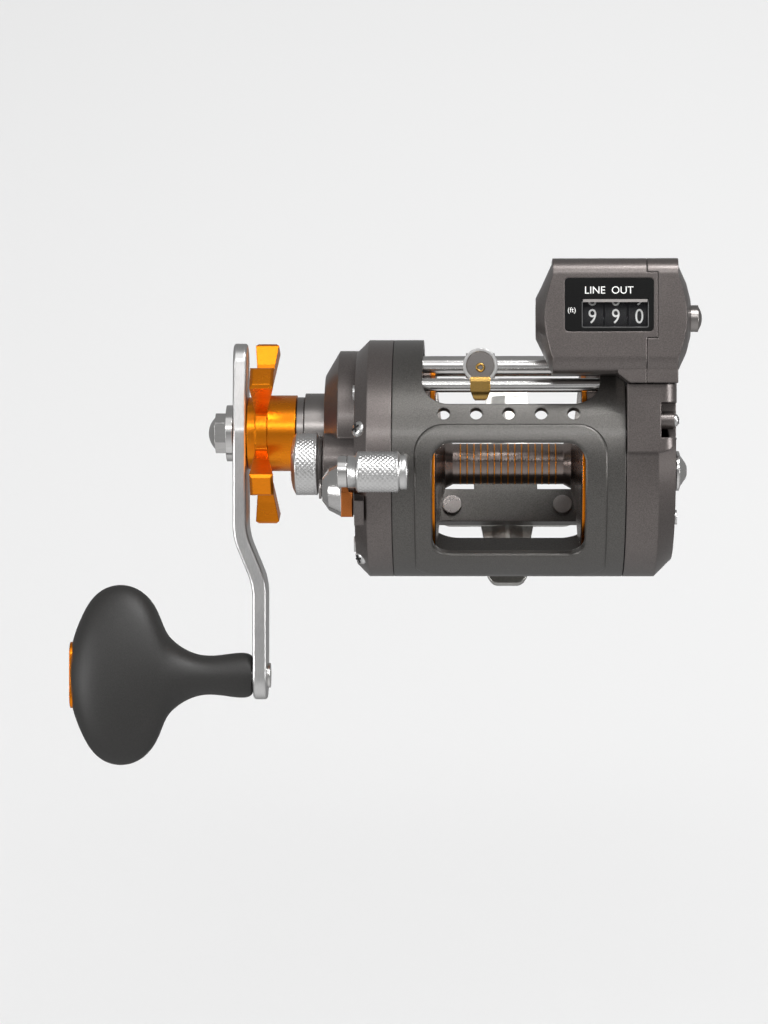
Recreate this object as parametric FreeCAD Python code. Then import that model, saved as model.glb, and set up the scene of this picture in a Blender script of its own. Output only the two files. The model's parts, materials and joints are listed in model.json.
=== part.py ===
import FreeCAD, Part
import math
import os

# Star-drag trolling reel with a level wind and a line counter.
# Millimetres. +X runs along the spool axis from the handle side to the counter side,
# +Y points towards the rod tip and +Z up. Everything is drawn about the spool axis
# (x = 0 half way along the spool) and moved at the end, so that the origin of the
# finished part is the centre of the foot's lower face.

V = FreeCAD.Vector
X_AXIS = V(1, 0, 0)

# Where the spool axis stands over the foot
SPOOL_Y = -9.0
SPOOL_Z = 41.0

# Frame: a drum with two end rings, a rear panel and a bottom bar
FRAME_HALF = 35.0            # half length between the two seams
DRUM_R = 36.6                # outside radius of rings, panel and side covers
DRUM_Y = 1.9                 # the drum's centre is this far forward of the spool axis
DRUM_WALL = 2.6
RING_WIDTH = 7.0
RING_BORE = 29.1             # about the spool axis
PANEL_FRONT_DEG = 84.5       # angles run from +Y towards +Z about the drum's centre
PANEL_REAR_DEG = 243.0
WINDOW_DEG = (103.8, 164.0)
WINDOW_HALF = 23.0
WINDOW_CORNER = 5.5
OPENING_X = (-26.0, 27.5)
OPENING_CORNER = 8.0
REAR_CORNER = 11.0
VENT_COUNT = 5
VENT_PITCH = 9.75
VENT_R = 1.9
VENT_DEG = 89.5
BAR_Y = (-6.8, 4.2)
BAR_Z = (-37.2, -33.6)

# Foot that sits in a rod's reel seat
FOOT_LENGTH = 70.0
FOOT_Y0 = -26.0              # rear end
FOOT_BOTTOM = -SPOOL_Z
RIVET_X = 17.6
RIVET_R = 3.05

# Rods across the front
WORM_Y, WORM_Z = 23.0, 23.4
WORM_TUBE_R = 3.15
GUIDE_Y, GUIDE_Z = 13.7, 30.8
GUIDE_R = 2.15

# Spool
SPOOL_FLANGE_R = 28.6
ARBOR_R = 6.3
ARBOR_HALF = 18.5
RIM_X = 22.0
RIM_WIDTH = 1.7
SKIRT_X = 33.5
SHAFT_R = 2.5
FIT = 0.05                   # radial clearance of a running fit

# Handle-side gears: 50 : 12 teeth
DRIVE_MODULE = 0.738
MAIN_TEETH = 50
PINION_TEETH = 12
HANDLE_DIST = DRIVE_MODULE * (MAIN_TEETH + PINION_TEETH) / 2
HANDLE_DEG = -43.95          # direction from the spool axis to the handle axis
HANDLE_Y = HANDLE_DIST * math.cos(math.radians(HANDLE_DEG))
HANDLE_Z = HANDLE_DIST * math.sin(math.radians(HANDLE_DEG))
MAIN_X = (-47.9, -44.9)
PINION_X = (-48.1, -41.8)

# Counter-side gears: spool 12 - idler 30 - worm 24, then 12 - 24 and 12 - 24
TRAIN_MODULE = 0.8
SPOOL_GEAR_TEETH = 12
IDLER_TEETH = 30
WORM_GEAR_TEETH = 24
TRAIN_X = (38.6, 40.4)
STEP_MODULE = 0.68
STEP_SMALL = 12
STEP_LARGE = 24
COUNTER_TEETH = 24
STEP_X = (42.1, 43.6)
COUNTER_GEAR_X = (44.2, 45.8)

# The counter leans back towards the angler by this angle
LEAN_DEG = 20.0
COUNTER_UP = (26.2, 60.6)    # extent across the lean
COUNTER_OUT = (21.0, 43.4)   # extent towards the angler
COUNTER_CORNER = 5.0
COUNTER_X = (13.0, 50.2)
COUNTER_WALL = 1.7
SKIRT_FROM, SKIRT_UP = 32.4, 23.5
SEAM_GAP = 0.2
WHEEL_UP, WHEEL_OUT = 43.0, 32.0
WHEEL_R = 8.6
WHEEL_X = ((21.7, 27.9), (28.6, 34.9), (35.6, 41.8))
WINDOW_PLATE = (16.5, 42.9, 38.6, 54.5)     # x0, x1, up0, up1
DIGIT_HOLE = (21.4, 41.3, 39.8, 48.1)

# Handle
ARM_DEG = 200.37              # at rest the arm points to the rear and a little down
ARM_REACH = 76.7
ARM_TAIL = 28.4
ARM_THICK = 4.4
ARM_OUTER_X = -86.5
ARM_STEP = 6.2
STAR_TIP_R = 29.0

# Freespool lever
LEVER_Y, LEVER_Z = -15.0, 17.9
GRIP_Y, GRIP_Z = -18.55, 42.2


def leaned(up, out):
    """A point of the leaned counter in y and z."""
    lean = math.radians(LEAN_DEG)
    return (up * math.cos(lean) - out * math.sin(lean), up * math.sin(lean) + out * math.cos(lean))


WHEEL_Y, WHEEL_Z = leaned(WHEEL_UP, WHEEL_OUT)


def polar(radius, degrees, y=0.0, z=0.0):
    a = math.radians(degrees)
    return (y + radius * math.cos(a), z + radius * math.sin(a))


def bar(x0, x1, radius, y=0.0, z=0.0):
    """A cylinder along X."""
    return Part.makeCylinder(radius, x1 - x0, V(x0, y, z), X_AXIS)


def tube(x0, x1, outer, inner, y=0.0, z=0.0):
    return bar(x0, x1, outer, y, z).cut(bar(x0 - 1, x1 + 1, inner, y, z))


def taper(x0, x1, r0, r1, y=0.0, z=0.0):
    """A cone along X, radius r0 at x0 and r1 at x1."""
    if x1 < x0:
        return taper(x1, x0, r1, r0, y, z)
    return Part.makeCone(r0, r1, x1 - x0, V(x0, y, z), X_AXIS)


def block(x0, x1, y0, y1, z0, z1):
    return Part.makeBox(x1 - x0, y1 - y0, z1 - z0, V(x0, y0, z0))


def prism(points, x0, x1):
    """A polygon in y and z, drawn out along X."""
    corners = [V(x0, y, z) for y, z in points]
    wire = Part.makePolygon(corners + corners[:1])
    return Part.Face(wire).extrude(V(x1 - x0, 0, 0))


def turned(profile, y=0.0, z=0.0):
    """A closed outline of (x, radius) points, turned about an axis along X."""
    corners = [V(x, r, 0) for x, r in profile]
    face = Part.Face(Part.makePolygon(corners + corners[:1]))
    shape = face.revolve(V(0, 0, 0), X_AXIS, 360)
    shape.translate(V(0, y, z))
    return shape


def spin_x(shape, degrees, y=0.0, z=0.0):
    copy = shape.copy()
    copy.rotate(V(0, y, z), X_AXIS, degrees)
    return copy


def join(shapes):
    whole = shapes[0]
    for shape in shapes[1:]:
        whole = whole.fuse(shape)
    return whole.removeSplitter()


def group(shapes):
    """Separate solids that share one node."""
    return Part.makeCompound(shapes)


def rounded_box(x0, x1, y0, y1, z0, z1, radius, axis):
    """A box whose edges along one axis are rounded."""
    box = block(x0, x1, y0, y1, z0, z1)
    picked = []
    for edge in box.Edges:
        run = edge.Vertexes[1].Point - edge.Vertexes[0].Point
        if abs(run.normalize().dot(axis)) > 0.99:
            picked.append(edge)
    return box.makeFillet(radius, picked)


def lean(shape):
    """Turn a shape drawn with y as up and z as out into the counter's lean."""
    return spin_x(shape, LEAN_DEG)


def save(name, shape):
    placed = shape.copy()
    placed.translate(V(0, SPOOL_Y, SPOOL_Z))
    placed.exportStep("parts/" + name + ".step")


# ---------------------------------------------------------------- gears

PRESSURE = math.radians(25)
BACKLASH = 0.16
FLANK_STEPS = 3


def gear_outline(teeth, module, phase):
    """Involute teeth, one centred on the angle phase (radians)."""
    pitch_r = module * teeth / 2
    base_r = pitch_r * math.cos(PRESSURE)
    tip_r = pitch_r + 0.8 * module
    root_r = pitch_r - 1.05 * module
    start_r = max(base_r, root_r)
    half_pitch = math.pi / (2 * teeth) - BACKLASH / (2 * pitch_r)
    at_pitch = math.tan(PRESSURE) - PRESSURE
    flank = [(root_r, None)] if start_r > root_r else []
    for step in range(FLANK_STEPS + 1):
        radius = start_r + (tip_r - start_r) * step / FLANK_STEPS
        roll = math.acos(min(1.0, base_r / radius))
        flank.append((radius, half_pitch + at_pitch - math.tan(roll) + roll))
    if flank[0][1] is None:
        flank[0] = (root_r, flank[1][1])
    points = []
    for tooth in range(teeth):
        middle = phase + 2 * math.pi * tooth / teeth
        rising = [(r, middle - half) for r, half in flank]
        falling = [(r, middle + half) for r, half in reversed(flank)]
        points += [(r * math.cos(a), r * math.sin(a)) for r, a in rising + falling]
    return points


def gear(teeth, module, phase, x0, x1, y=0.0, z=0.0):
    points = [(y + py, z + pz) for py, pz in gear_outline(teeth, module, phase)]
    return prism(points, x0, x1)


def mesh_phase(teeth_a, phase_a, teeth_b, direction):
    """Phase of gear b that meshes with gear a, which lies opposite the direction a to b."""
    part = (direction - phase_a) * teeth_a / (2 * math.pi)
    return direction + math.pi - (0.5 - part) * 2 * math.pi / teeth_b


def direction(a, b):
    return math.atan2(b[1] - a[1], b[0] - a[0])


def third_corner(a, b, from_a, from_b, side):
    """The centre that lies from_a from a and from_b from b, on the given side of a to b."""
    span = math.hypot(b[0] - a[0], b[1] - a[1])
    along = (from_a ** 2 - from_b ** 2 + span ** 2) / (2 * span)
    across = side * math.sqrt(from_a ** 2 - along ** 2)
    uy, uz = (b[0] - a[0]) / span, (b[1] - a[1]) / span
    return (a[0] + along * uy - across * uz, a[1] + along * uz + across * uy)


SPOOL_C = (0.0, 0.0)
WORM_C = (WORM_Y, WORM_Z)
WHEEL_C = (WHEEL_Y, WHEEL_Z)
HANDLE_C = (HANDLE_Y, HANDLE_Z)
IDLER_C = third_corner(
    SPOOL_C, WORM_C, TRAIN_MODULE * (SPOOL_GEAR_TEETH + IDLER_TEETH) / 2,
    TRAIN_MODULE * (IDLER_TEETH + WORM_GEAR_TEETH) / 2, -1)
STEP_C = third_corner(
    WORM_C, WHEEL_C, STEP_MODULE * (STEP_SMALL + STEP_LARGE) / 2,
    STEP_MODULE * (STEP_SMALL + COUNTER_TEETH) / 2, 1)

IDLER_PHASE = mesh_phase(SPOOL_GEAR_TEETH, 0, IDLER_TEETH, direction(SPOOL_C, IDLER_C))
WORM_PHASE = mesh_phase(IDLER_TEETH, IDLER_PHASE, WORM_GEAR_TEETH, direction(IDLER_C, WORM_C))
STEP_PHASE = mesh_phase(STEP_SMALL, 0, STEP_LARGE, direction(WORM_C, STEP_C))
COUNTER_PHASE = mesh_phase(STEP_SMALL, 0, COUNTER_TEETH, direction(STEP_C, WHEEL_C))
PINION_PHASE = mesh_phase(MAIN_TEETH, 0, PINION_TEETH, direction(HANDLE_C, SPOOL_C))


# ---------------------------------------------------------------- frame and foot

def sector(x0, x1, deg0, deg1, radius):
    """A pie slice about the drum's centre."""
    steps = max(2, int((deg1 - deg0) / 30) + 1)
    points = [(DRUM_Y, 0.0)]
    for i in range(steps + 1):
        points.append(polar(radius, deg0 + (deg1 - deg0) * i / steps, DRUM_Y))
    return prism(points, x0, x1)


def corner_edges(shape, x_values, degrees):
    """The short radial edges of the drum's wall at the given places."""
    found = []
    for edge in shape.Edges:
        if len(edge.Vertexes) != 2:
            continue
        ends = [v.Point for v in edge.Vertexes]
        if abs(ends[0].x - ends[1].x) > 1e-4:
            continue
        if min(abs(ends[0].x - x) for x in x_values) > 1e-3:
            continue
        angles = [math.degrees(math.atan2(p.z, p.y - DRUM_Y)) % 360 for p in ends]
        if max(min(abs(a - d) for d in degrees) for a in angles) < 0.01:
            found.append(edge)
    return found


def window_cut():
    """The thumb window, cut straight in along its middle direction."""
    middle = sum(WINDOW_DEG) / 2
    half_span = math.radians(WINDOW_DEG[1] - WINDOW_DEG[0]) / 2
    half_high = DRUM_R * math.sin(half_span)
    cut = rounded_box(-WINDOW_HALF, WINDOW_HALF, -half_high, half_high, 20, 50, WINDOW_CORNER, V(0, 0, 1))
    cut = spin_x(cut, middle - 90)
    cut.translate(V(0, DRUM_Y, 0))
    return cut


def vent_cuts():
    y, z = polar(30, VENT_DEG, DRUM_Y)
    way = V(0, *polar(1, VENT_DEG))
    first = -(VENT_COUNT - 1) / 2 * VENT_PITCH
    return [Part.makeCylinder(VENT_R, 12, V(first + i * VENT_PITCH, y, z), way) for i in range(VENT_COUNT)]


def frame():
    ring_face = FRAME_HALF - RING_WIDTH
    drum = bar(-FRAME_HALF, FRAME_HALF, DRUM_R, DRUM_Y)
    drum = drum.cut(bar(-ring_face, ring_face, DRUM_R - DRUM_WALL, DRUM_Y))
    drum = drum.cut(bar(-40, 40, RING_BORE))
    front = sector(OPENING_X[0], OPENING_X[1], -95, PANEL_FRONT_DEG, 60)
    rear = sector(OPENING_X[0], OPENING_X[1], PANEL_REAR_DEG, 266, 60)
    drum = drum.cut(front).cut(rear)
    drum = drum.makeFillet(OPENING_CORNER, corner_edges(drum, OPENING_X, (PANEL_FRONT_DEG,)))
    drum = drum.makeFillet(REAR_CORNER, corner_edges(drum, OPENING_X, (PANEL_REAR_DEG,)))
    drum = drum.cut(window_cut())
    for vent in vent_cuts():
        drum = drum.cut(vent)
    base = block(-ring_face - 1, ring_face + 1, BAR_Y[0], BAR_Y[1], BAR_Z[0], BAR_Z[1])
    step = block(-10.6, 9.6, BAR_Y[1] - 1, BAR_Y[1] + 2.0, BAR_Z[0], BAR_Z[1])
    whole = drum.fuse(base).fuse(step)
    for x in (-RIVET_X, RIVET_X):
        whole = whole.cut(Part.makeCylinder(1.65, 20, V(x, -1.3, -45)))
    whole = whole.cut(bar(-40, 40, WORM_TUBE_R, WORM_Y, WORM_Z))
    whole = whole.cut(bar(-40, 40, GUIDE_R, GUIDE_Y, GUIDE_Z))
    return whole.removeSplitter()


def foot():
    """A long saddle: narrow ends, wings out to the rivets, a low crease on top."""
    ends = FOOT_LENGTH / 2
    middle = FOOT_Y0 + ends
    half_outline = [(-ends, 4.6), (-ends + 3, 6.4), (-22, 7.0), (-15, 8.4), (-4, 9.4), (9, 9.0), (22, 7.6)]
    half_outline += [(ends - 3, 6.4), (ends, 4.6)]
    outline = [(half, middle + along) for along, half in half_outline]
    outline += [(-half, middle + along) for along, half in reversed(half_outline)]
    wire = [V(x, y, FOOT_BOTTOM) for x, y in outline]
    plate = Part.Face(Part.makePolygon(wire + wire[:1])).extrude(V(0, 0, 2.4))
    verticals = [e for e in plate.Edges if abs(e.Vertexes[0].Z - e.Vertexes[1].Z) > 2]
    plate = plate.makeFillet(3.0, verticals)
    ridge = prism_y([(-5, 0), (5, 0), (0.6, 1.2), (-0.6, 1.2)], FOOT_Y0 + 6, FOOT_Y0 + FOOT_LENGTH - 6)
    ridge.translate(V(0, 0, FOOT_BOTTOM + 2.4 - 0.01))
    top = BAR_Z[0]
    wings = rounded_box(-22.5, 22.5, -6.4, 4.0, FOOT_BOTTOM + 1.2, top, 4.5, V(0, 0, 1))
    pad = rounded_box(-8.4, 8.4, -6.4, 8, FOOT_BOTTOM, top, 4.5, V(0, 0, 1))
    whole = plate.fuse(ridge).fuse(pad).fuse(wings)
    for x in (-RIVET_X, RIVET_X):
        whole = whole.cut(Part.makeCylinder(1.65, 20, V(x, -1.3, -45)))
    return whole.removeSplitter()


def prism_y(points, y0, y1):
    """A polygon in x and z, drawn out along Y."""
    corners = [V(x, y0, z) for x, z in points]
    return Part.Face(Part.makePolygon(corners + corners[:1])).extrude(V(0, y1 - y0, 0))


def foot_rivets():
    rivets = []
    for x in (-RIVET_X, RIVET_X):
        shank = Part.makeCylinder(1.6, BAR_Z[1] - FOOT_BOTTOM - 1.4, V(x, -1.3, FOOT_BOTTOM + 1.4))
        head = Part.makeCylinder(RIVET_R, 1.2, V(x, -1.3, BAR_Z[1]))
        rivets.append(shank.fuse(head))
    return group(rivets)


# ---------------------------------------------------------------- side covers

def handle_cover():
    """The gearbox shell: drum, chamfer, round gear bulge and the brake boss."""
    shell = bar(-42.7, -FRAME_HALF - 0.2, DRUM_R, DRUM_Y)
    shell = shell.fuse(taper(-46.5, -42.7, 32.8, DRUM_R, DRUM_Y))
    shell = shell.fuse(bar(-52.7, -37, 26, *HANDLE_C))
    shell = shell.fuse(taper(-57.2, -52.7, 18.4, 26, *HANDLE_C))
    shell = shell.fuse(bar(-57.0, -44, 9.6))
    hollow = bar(-42.7, -34, DRUM_R - 2.2, DRUM_Y)
    hollow = hollow.fuse(taper(-44.5, -42.7, 32.6, DRUM_R - 2.2, DRUM_Y))
    hollow = hollow.fuse(bar(-50.7, -39, 24, *HANDLE_C))
    hollow = hollow.fuse(bar(-51.2, -34, 6.6))
    shell = shell.cut(hollow)
    shell = shell.cut(bar(-54.8, -50, 5.5))
    shell = shell.cut(bar(-60, -50, SHAFT_R + 0.3))
    shell = shell.cut(bar(-60, -50, 9.0, *HANDLE_C))
    return shell.removeSplitter()


def handle_bridge():
    """The inner plate that carries the gear shafts."""
    plate = bar(-37.2, -35.2, DRUM_R - 2.4, DRUM_Y)
    plate = plate.cut(bar(-40, -30, 5.9))
    plate = plate.cut(bar(-40, -30, 3.0 + FIT, *HANDLE_C))
    plate = plate.cut(bar(-40, -30, 1.4 + FIT, WORM_Y, WORM_Z))
    return plate


def counter_cover():
    """The counter-side shell with its neck, which carries the counter."""
    shell = bar(FRAME_HALF + 0.3, 44.9, DRUM_R, DRUM_Y)
    shell = shell.fuse(taper(44.9, 50.2, DRUM_R, 31.3, DRUM_Y))
    neck = block(FRAME_HALF + 0.3, 50.2, 3, 42, 9, 38.5)
    far = [e for e in neck.Edges if min(v.X for v in e.Vertexes) > 50.1]
    neck = lean(neck.makeFillet(5.0, far))
    outline = bar(FRAME_HALF + 0.3, 50.2, 12.2, WORM_Y, WORM_Z)
    shell = shell.fuse(neck).fuse(outline)
    hollow = bar(34, 44.9, DRUM_R - 2.2, DRUM_Y)
    hollow = hollow.fuse(taper(44.9, 48.2, DRUM_R - 2.2, 31.0, DRUM_Y))
    hollow = hollow.fuse(bar(38.2, 48.2, 10.8, WORM_Y, WORM_Z))
    hollow = hollow.fuse(lean(block(38.2, 47.2, 19.5, 45, 12, 36.5)))
    hollow = hollow.fuse(lean(block(38.2, 43.5, 6, 19.6, 12, 36.5)))
    shell = shell.cut(hollow)
    keep_out = lean(block(12, 60, SKIRT_UP - 0.25, 80, COUNTER_OUT[0] - 0.3, 60))
    shell = shell.cut(keep_out).cut(gear_throat())
    shell = shell.cut(prism(strip(leaned(-4.6, 24), leaned(3.6, 24), 2.0), 47, 52))
    shell = shell.cut(lean(block(45.3, 52, 7.3, 17.8, 30.0, 42)))
    shell = shell.fuse(bar(44.5, 49.4, 2.7, *leaned(12.5, 33.6)))
    return max(shell.Solids, key=lambda s: s.Volume)


def counter_bridge():
    plate = bar(35.3, 37.3, DRUM_R - 2.5, DRUM_Y)
    plate = plate.cut(bar(30, 40, 5.5 + 0.02))
    plate = plate.cut(bar(30, 40, 1.4 + FIT, WORM_Y, WORM_Z))
    return plate.cut(lean(block(30, 40, SKIRT_UP - 0.3, 80, COUNTER_OUT[0] - 0.3, 60)))


def cover_screws():
    """Countersunk screws that hold the two covers to the frame."""
    screws = []
    for degrees in (150, 215, 280, 345):
        y, z = polar(28.4, degrees, DRUM_Y)
        screws.append(bar(50.2, 50.9, 2.2, y, z))
    for degrees in (68, 176, 225):
        y, z = polar(29.0, degrees, DRUM_Y)
        screws.append(bar(-47.2, -46.5, 2.4, y, z))
    return group(screws)


def bearings():
    """Ball bearings of the spool shaft and the drive shaft, shown as closed rings."""
    return group([
        tube(-54.7, -51.4, 5.48, SHAFT_R + FIT),
        tube(34.6, 37.3, 5.5, SHAFT_R + FIT),
    ])


def drive_housing():
    """The stepped sleeve that carries the drive shaft outside the gearbox."""
    sleeve = bar(-63.7, -57.25, 12.6, *HANDLE_C)
    sleeve = sleeve.fuse(bar(-57.25, -52.0, 8.98, *HANDLE_C))
    return sleeve.cut(bar(-70, -50, 3.5 + FIT, *HANDLE_C))


def gear_studs():
    """Fixed posts that the idlers, the yoke and the dog turn or slide on."""
    studs = [
        bar(37.3, 41.0, 1.5, *IDLER_C),
        bar(37.3, 46.8, 1.2, *STEP_C),
        bar(-44.4, -37.2, 1.2, *polar(15, 150)),
        bar(-44.4, -37.2, 1.2, *polar(15, 60)),
        bar(-43.0, -37.2, 1.2, *dog_centre()),
    ]
    return group(studs)


# ---------------------------------------------------------------- counter

def counter_block(x0, x1, inset=0.0):
    radius = COUNTER_CORNER - inset
    box = rounded_box(x0, x1, COUNTER_UP[0] + inset, COUNTER_UP[1] - inset,
                      COUNTER_OUT[0] + inset, COUNTER_OUT[1] - inset, radius, X_AXIS)
    return box


def counter_shell():
    """The whole counter box, drawn unleaned; it is parted into body and cover later."""
    x0, x1 = COUNTER_X
    box = counter_block(x0, x1)
    domes = [taper(x0 - 3.2, x0 + 0.6, 9.6, 18.0, WHEEL_UP, WHEEL_OUT)]
    domes.append(taper(x0 - 4.9, x0 - 3.2, 6.2, 9.6, WHEEL_UP, WHEEL_OUT))
    domes.append(taper(x1 - 0.6, x1 + 2.8, 18.0, 10.6, WHEEL_UP, WHEEL_OUT))
    domes.append(taper(x1 + 2.8, x1 + 4.0, 10.6, 6.0, WHEEL_UP, WHEEL_OUT))
    long_block = counter_block(x0 - 8, x1 + 8)
    for dome in domes:
        box = box.fuse(dome.common(long_block))
    box = box.fuse(counter_skirt(COUNTER_OUT[1] - 1.6, 0.0))
    inner = counter_block(x0 + COUNTER_WALL, x1 - COUNTER_WALL, COUNTER_WALL)
    box = box.cut(inner).cut(counter_skirt(COUNTER_OUT[1] - 3.4, 1.6))
    box = box.cut(bar(5, x0 - 3.4, 4.6, WHEEL_UP, WHEEL_OUT))
    box = box.cut(rounded_box(*WINDOW_PLATE, COUNTER_OUT[1] - 0.9, 50, 1.3, V(0, 0, 1)))
    hole = DIGIT_HOLE
    box = box.cut(block(hole[0], hole[1], hole[2], hole[3], 40, 50))
    return box.cut(bar(48, 60, 4.2, WHEEL_UP, WHEEL_OUT))


def counter_skirt(front, inset):
    """The lower end of the counter box, which steps down to meet the neck."""
    low = SKIRT_UP + (inset - 3.0 if inset else 0.0)
    outline = [(SKIRT_FROM + inset, 32.0), (SKIRT_FROM + inset, COUNTER_UP[0] + inset), (36.0 + inset, low)]
    outline += [(COUNTER_X[1] - inset, low), (COUNTER_X[1] - inset, 32.0)]
    corners = [V(x, up, COUNTER_OUT[0] + inset) for x, up in outline]
    slab = Part.Face(Part.makePolygon(corners + corners[:1]))
    return slab.extrude(V(0, 0, front - COUNTER_OUT[0] - inset))


def gear_throat():
    """Room for the gears, where the neck opens into the counter."""
    return bar(41.6, 46.4, 9.3, *STEP_C).fuse(bar(38.2, 41.6, 10.8, *WORM_C))


def counter_parts():
    shell = counter_shell()
    right = block(44.2, 70, 0, 80, 0, 60).fuse(block(41.0, 70, 0, 36.6, 0, 60))
    right = right.fuse(block(41.0, 70, 56.3, 80, 0, 60))
    wide = block(44.2 - SEAM_GAP, 70, 0, 80, 0, 60).fuse(block(41.0 - SEAM_GAP, 70, 0, 36.6 + SEAM_GAP, 0, 60))
    wide = wide.fuse(block(41.0 - SEAM_GAP, 70, 56.3 - SEAM_GAP, 80, 0, 60))
    body = shell.cut(wide)
    cap = shell.common(right)
    throat = gear_throat().fuse(bar(12, 36, DRUM_R + 0.2, DRUM_Y))
    body, cap = lean(body).cut(throat), lean(cap).cut(throat)
    return [max(half.Solids, key=lambda s: s.Volume) for half in (body, cap)]


def counter_window():
    """The black dial plate with its long hole for the digits."""
    x0, x1, up0, up1 = WINDOW_PLATE
    gap = 0.05
    back, front = COUNTER_OUT[1] - 0.85, COUNTER_OUT[1]
    plate = rounded_box(x0 + gap, x1 - gap, up0 + gap, up1 - gap, back, front, 1.3 - gap, V(0, 0, 1))
    h0, h1, v0, v1 = DIGIT_HOLE
    return lean(plate.cut(block(h0, h1, v0, v1, 42, 50)))


def counter_lens():
    h0, h1, v0, v1 = DIGIT_HOLE
    top = COUNTER_OUT[1] - 0.95
    return lean(block(h0 + 0.05, h1 - 0.05, v0 + 0.05, v1 - 0.05, top - 0.6, top))


def counter_axle():
    return bar(15.5, 46.8, 1.4, *WHEEL_C)


def number_wheel(x0, x1):
    """A plain digit drum with a bore for the axle."""
    return tube(x0, x1, WHEEL_R, 1.4 + FIT, *WHEEL_C)


def counter_gear():
    wheel = gear(COUNTER_TEETH, STEP_MODULE, COUNTER_PHASE, *COUNTER_GEAR_X, *WHEEL_C)
    wheel = wheel.fuse(bar(WHEEL_X[2][1], COUNTER_GEAR_X[0], 3.0, *WHEEL_C))
    return wheel.cut(bar(40, 50, 1.4 + FIT, *WHEEL_C))


def step_idler():
    large = gear(STEP_LARGE, STEP_MODULE, STEP_PHASE, *STEP_X, *STEP_C)
    small = gear(STEP_SMALL, STEP_MODULE, 0, STEP_X[1], COUNTER_GEAR_X[1], *STEP_C)
    return large.fuse(small).cut(bar(38, 50, 1.2 + FIT, *STEP_C))


def reset_button():
    """A domed push button on the counter's axis, hollow for its spring."""
    y, z = WHEEL_C
    button = bar(50.0, 56.6, 4.0, y, z)
    dome = Part.makeSphere(6.2, V(51.6, y, z)).common(bar(56.0, 60, 4.0, y, z))
    collar = bar(48.9, 50.0, 3.9, y, z)
    return button.fuse(dome).fuse(collar).removeSplitter().cut(bar(48, 51.0, 2.9, y, z))


# ---------------------------------------------------------------- springs

def spring(x0, x1, radius, wire, turns, y, z):
    """A wire helix about an axis along X."""
    helix = Part.makeHelix((x1 - x0) / turns, x1 - x0, radius)
    section = Part.Wire(Part.makeCircle(wire, V(radius, 0, 0), V(0, 1, 0)))
    coil = Part.Wire(helix).makePipeShell([section], True, True)
    coil.rotate(V(0, 0, 0), V(0, 1, 0), 90)
    coil.translate(V(x0, y, z))
    return coil


# ---------------------------------------------------------------- spool

def spool():
    """A deep bobbin: arbor, dished flanges and skirts that run inside the end rings."""
    half = [(ARBOR_HALF - 1.5, ARBOR_R), (19.4, 7.6), (20.4, 12.0), (21.4, 20.0), (RIM_X, 27.2)]
    half += [(RIM_X + 0.3, SPOOL_FLANGE_R - 0.9), (RIM_X + RIM_WIDTH, SPOOL_FLANGE_R - 0.9)]
    half += [(RIM_X + RIM_WIDTH + 0.1, SPOOL_FLANGE_R - 0.3), (SKIRT_X, SPOOL_FLANGE_R - 0.3)]
    half += [(SKIRT_X, 26.0), (24.6, 25.6), (23.0, 12.0), (23.0, SHAFT_R)]
    profile = half + [(-x, r) for x, r in reversed(half)]
    return turned(profile)


def spool_rims():
    """Two thin anodised bands round the flange edges."""
    bands = []
    for side in (-1, 1):
        x0, x1 = sorted((side * (RIM_X + 0.3), side * (RIM_X + RIM_WIDTH)))
        bands.append(tube(x0, x1, SPOOL_FLANGE_R, SPOOL_FLANGE_R - 0.9))
    return group(bands)


def clutch_pin():
    """Cross pin through the spool shaft that the pinion's slot takes."""
    return Part.makeCylinder(0.8, 8.4, V(-37.4, 0, -4.2), V(0, 0, 1))


def spool_shaft():
    return bar(-56.4, 46.5, SHAFT_R).cut(clutch_pin())


def pinion():
    """Teeth, a neck for the yoke and a slotted end that takes the clutch pin."""
    body = gear(PINION_TEETH, DRIVE_MODULE, PINION_PHASE, *PINION_X)
    body = body.fuse(bar(-41.8, -36.3, 3.9))
    body = body.fuse(bar(-42.0, -40.9, 4.9)).fuse(bar(-39.2, -36.3, 4.9))
    body = body.cut(block(-38.5, -36.0, -0.95, 0.95, -6, 6))
    return body.cut(bar(-60, -30, SHAFT_R + FIT))


def yoke():
    """A fork that rides in the pinion's neck and slides on two posts."""
    lugs = [polar(15, 150), polar(15, 60)]
    plate = bar(-40.7, -39.4, 7.0)
    for y, z in lugs:
        plate = plate.fuse(bar(-40.7, -39.4, 2.6, y, z))
        plate = plate.fuse(prism(strip((0, 0), (y, z), 2.2), -40.7, -39.4))
    plate = plate.cut(bar(-42, -38, 3.9 + FIT))
    plate = plate.cut(block(-42, -38, -3.95, 3.95, -8, 0))
    for y, z in lugs:
        plate = plate.cut(bar(-42, -38, 1.2 + FIT, y, z))
    return plate.removeSplitter()


def strip(a, b, half_width):
    """A rectangle in y and z along the line from a to b."""
    run = math.hypot(b[0] - a[0], b[1] - a[1])
    ny, nz = -(b[1] - a[1]) / run * half_width, (b[0] - a[0]) / run * half_width
    return [(a[0] + ny, a[1] + nz), (b[0] + ny, b[1] + nz), (b[0] - ny, b[1] - nz), (a[0] - ny, a[1] - nz)]


def click_wheel():
    return gear(12, 1.2, 0, 44.6, 46.0).cut(bar(40, 50, SHAFT_R))


def spool_gear():
    teeth = gear(SPOOL_GEAR_TEETH, TRAIN_MODULE, 0, *TRAIN_X)
    return teeth.cut(bar(30, 50, SHAFT_R))


def level_wind_idler():
    teeth = gear(IDLER_TEETH, TRAIN_MODULE, IDLER_PHASE, *TRAIN_X, *IDLER_C)
    return teeth.cut(bar(30, 50, 1.5 + FIT, *IDLER_C))


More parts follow.
